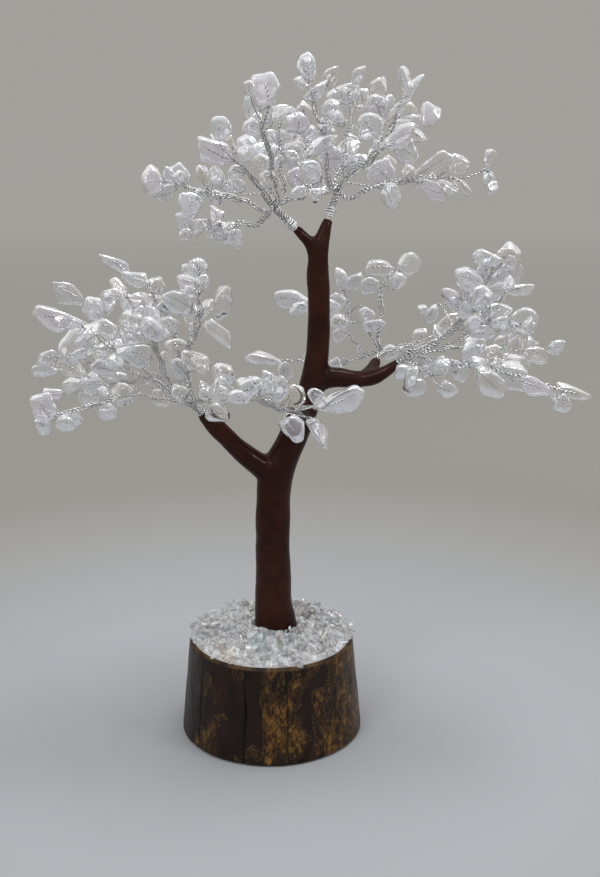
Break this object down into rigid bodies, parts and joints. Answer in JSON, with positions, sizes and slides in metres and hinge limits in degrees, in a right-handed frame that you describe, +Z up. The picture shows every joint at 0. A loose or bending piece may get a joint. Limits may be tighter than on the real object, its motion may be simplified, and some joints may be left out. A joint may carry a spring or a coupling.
{
  "type": "gemstone tree ornament",
  "caption": "Free-standing gemstone tree: clear quartz chips on bendable twisted-wire sprays, rising from a lacquered trunk set in a tapered wood base topped with crushed crystal.",
  "frame": {"origin": "centre of the wood base's underside", "axes": "+Z up along the trunk, -Y towards the viewer of the picture, +X to that viewer's right"},
  "size_m": [0.2156, 0.1131, 0.2672],
  "materials": {
    "stained_wood": "dark stained and varnished",
    "trunk_resin": "glossy brown lacquer over hand-moulded resin",
    "silver_wire": "bright drawn craft wire, twisted",
    "quartz": "tumbled clear to milky quartz",
    "crushed_crystal": "crushed clear crystal",
    "clear_glue": "clear cured glue"
  },
  "bodies": {
    "trunk": {"wood_base": "stained_wood", "socket_glue": "clear_glue", "glue_bed": "clear_glue", "crushed_crystal": "crushed_crystal", "trunk_coat": "trunk_resin", "top_left_stem": "silver_wire", "top_left_neck": "silver_wire", "top_left_winding": "silver_wire", "top_right_stem": "silver_wire", "top_right_neck": "silver_wire", "top_right_winding": "silver_wire", "left_stem": "silver_wire", "left_neck": "silver_wire", "front_stem": "silver_wire", "front_neck": "silver_wire", "right_stem": "silver_wire", "right_neck": "silver_wire", "back_stem": "silver_wire", "back_neck": "silver_wire"},
    "top_left_spray": {"top_left_branch_wires": "silver_wire", "top_left_twig_wires": "silver_wire", "top_left_chips": "quartz"},
    "top_right_spray": {"top_right_branch_wires": "silver_wire", "top_right_twig_wires": "silver_wire", "top_right_chips": "quartz"},
    "left_spray": {"left_branch_wires": "silver_wire", "left_twig_wires": "silver_wire", "left_chips": "quartz"},
    "front_spray": {"front_branch_wires": "silver_wire", "front_twig_wires": "silver_wire", "front_chips": "quartz"},
    "right_spray": {"right_branch_wires": "silver_wire", "right_twig_wires": "silver_wire", "right_chips": "quartz"},
    "back_spray": {"back_branch_wires": "silver_wire", "back_twig_wires": "silver_wire", "back_chips": "quartz"}
  },
  "joints": [
    {"name": "top_left_bend", "type": "hinge", "parent": "trunk", "child": "top_left_spray", "pos_m": [0.00478, -0.00428, 0.20931], "axis": [1, 0, 0], "range_deg": [-20, 20], "deforming": ["top_left_neck"]},
    {"name": "top_right_bend", "type": "hinge", "parent": "trunk", "child": "top_right_spray", "pos_m": [0.02474, 0.00285, 0.21435], "axis": [1, 0, 0], "range_deg": [-20, 20], "deforming": ["top_right_neck"]},
    {"name": "left_bend", "type": "hinge", "parent": "trunk", "child": "left_spray", "pos_m": [-0.02693, -0.0115, 0.13687], "axis": [0, 1, 0], "range_deg": [-30, 8], "deforming": ["left_neck"]},
    {"name": "front_bend", "type": "hinge", "parent": "trunk", "child": "front_spray", "pos_m": [0.00886, -0.02381, 0.1397], "axis": [1, 0, 0], "range_deg": [-25, 25], "deforming": ["front_neck"]},
    {"name": "right_bend", "type": "hinge", "parent": "trunk", "child": "right_spray", "pos_m": [0.05115, -0.00446, 0.155], "axis": [0, 1, 0], "range_deg": [-25, 6], "deforming": ["right_neck"]},
    {"name": "back_bend", "type": "hinge", "parent": "trunk", "child": "back_spray", "pos_m": [0.04275, 0.01066, 0.15287], "axis": [1, 0, 0], "range_deg": [-25, 4], "deforming": ["back_neck"]}
  ]
}
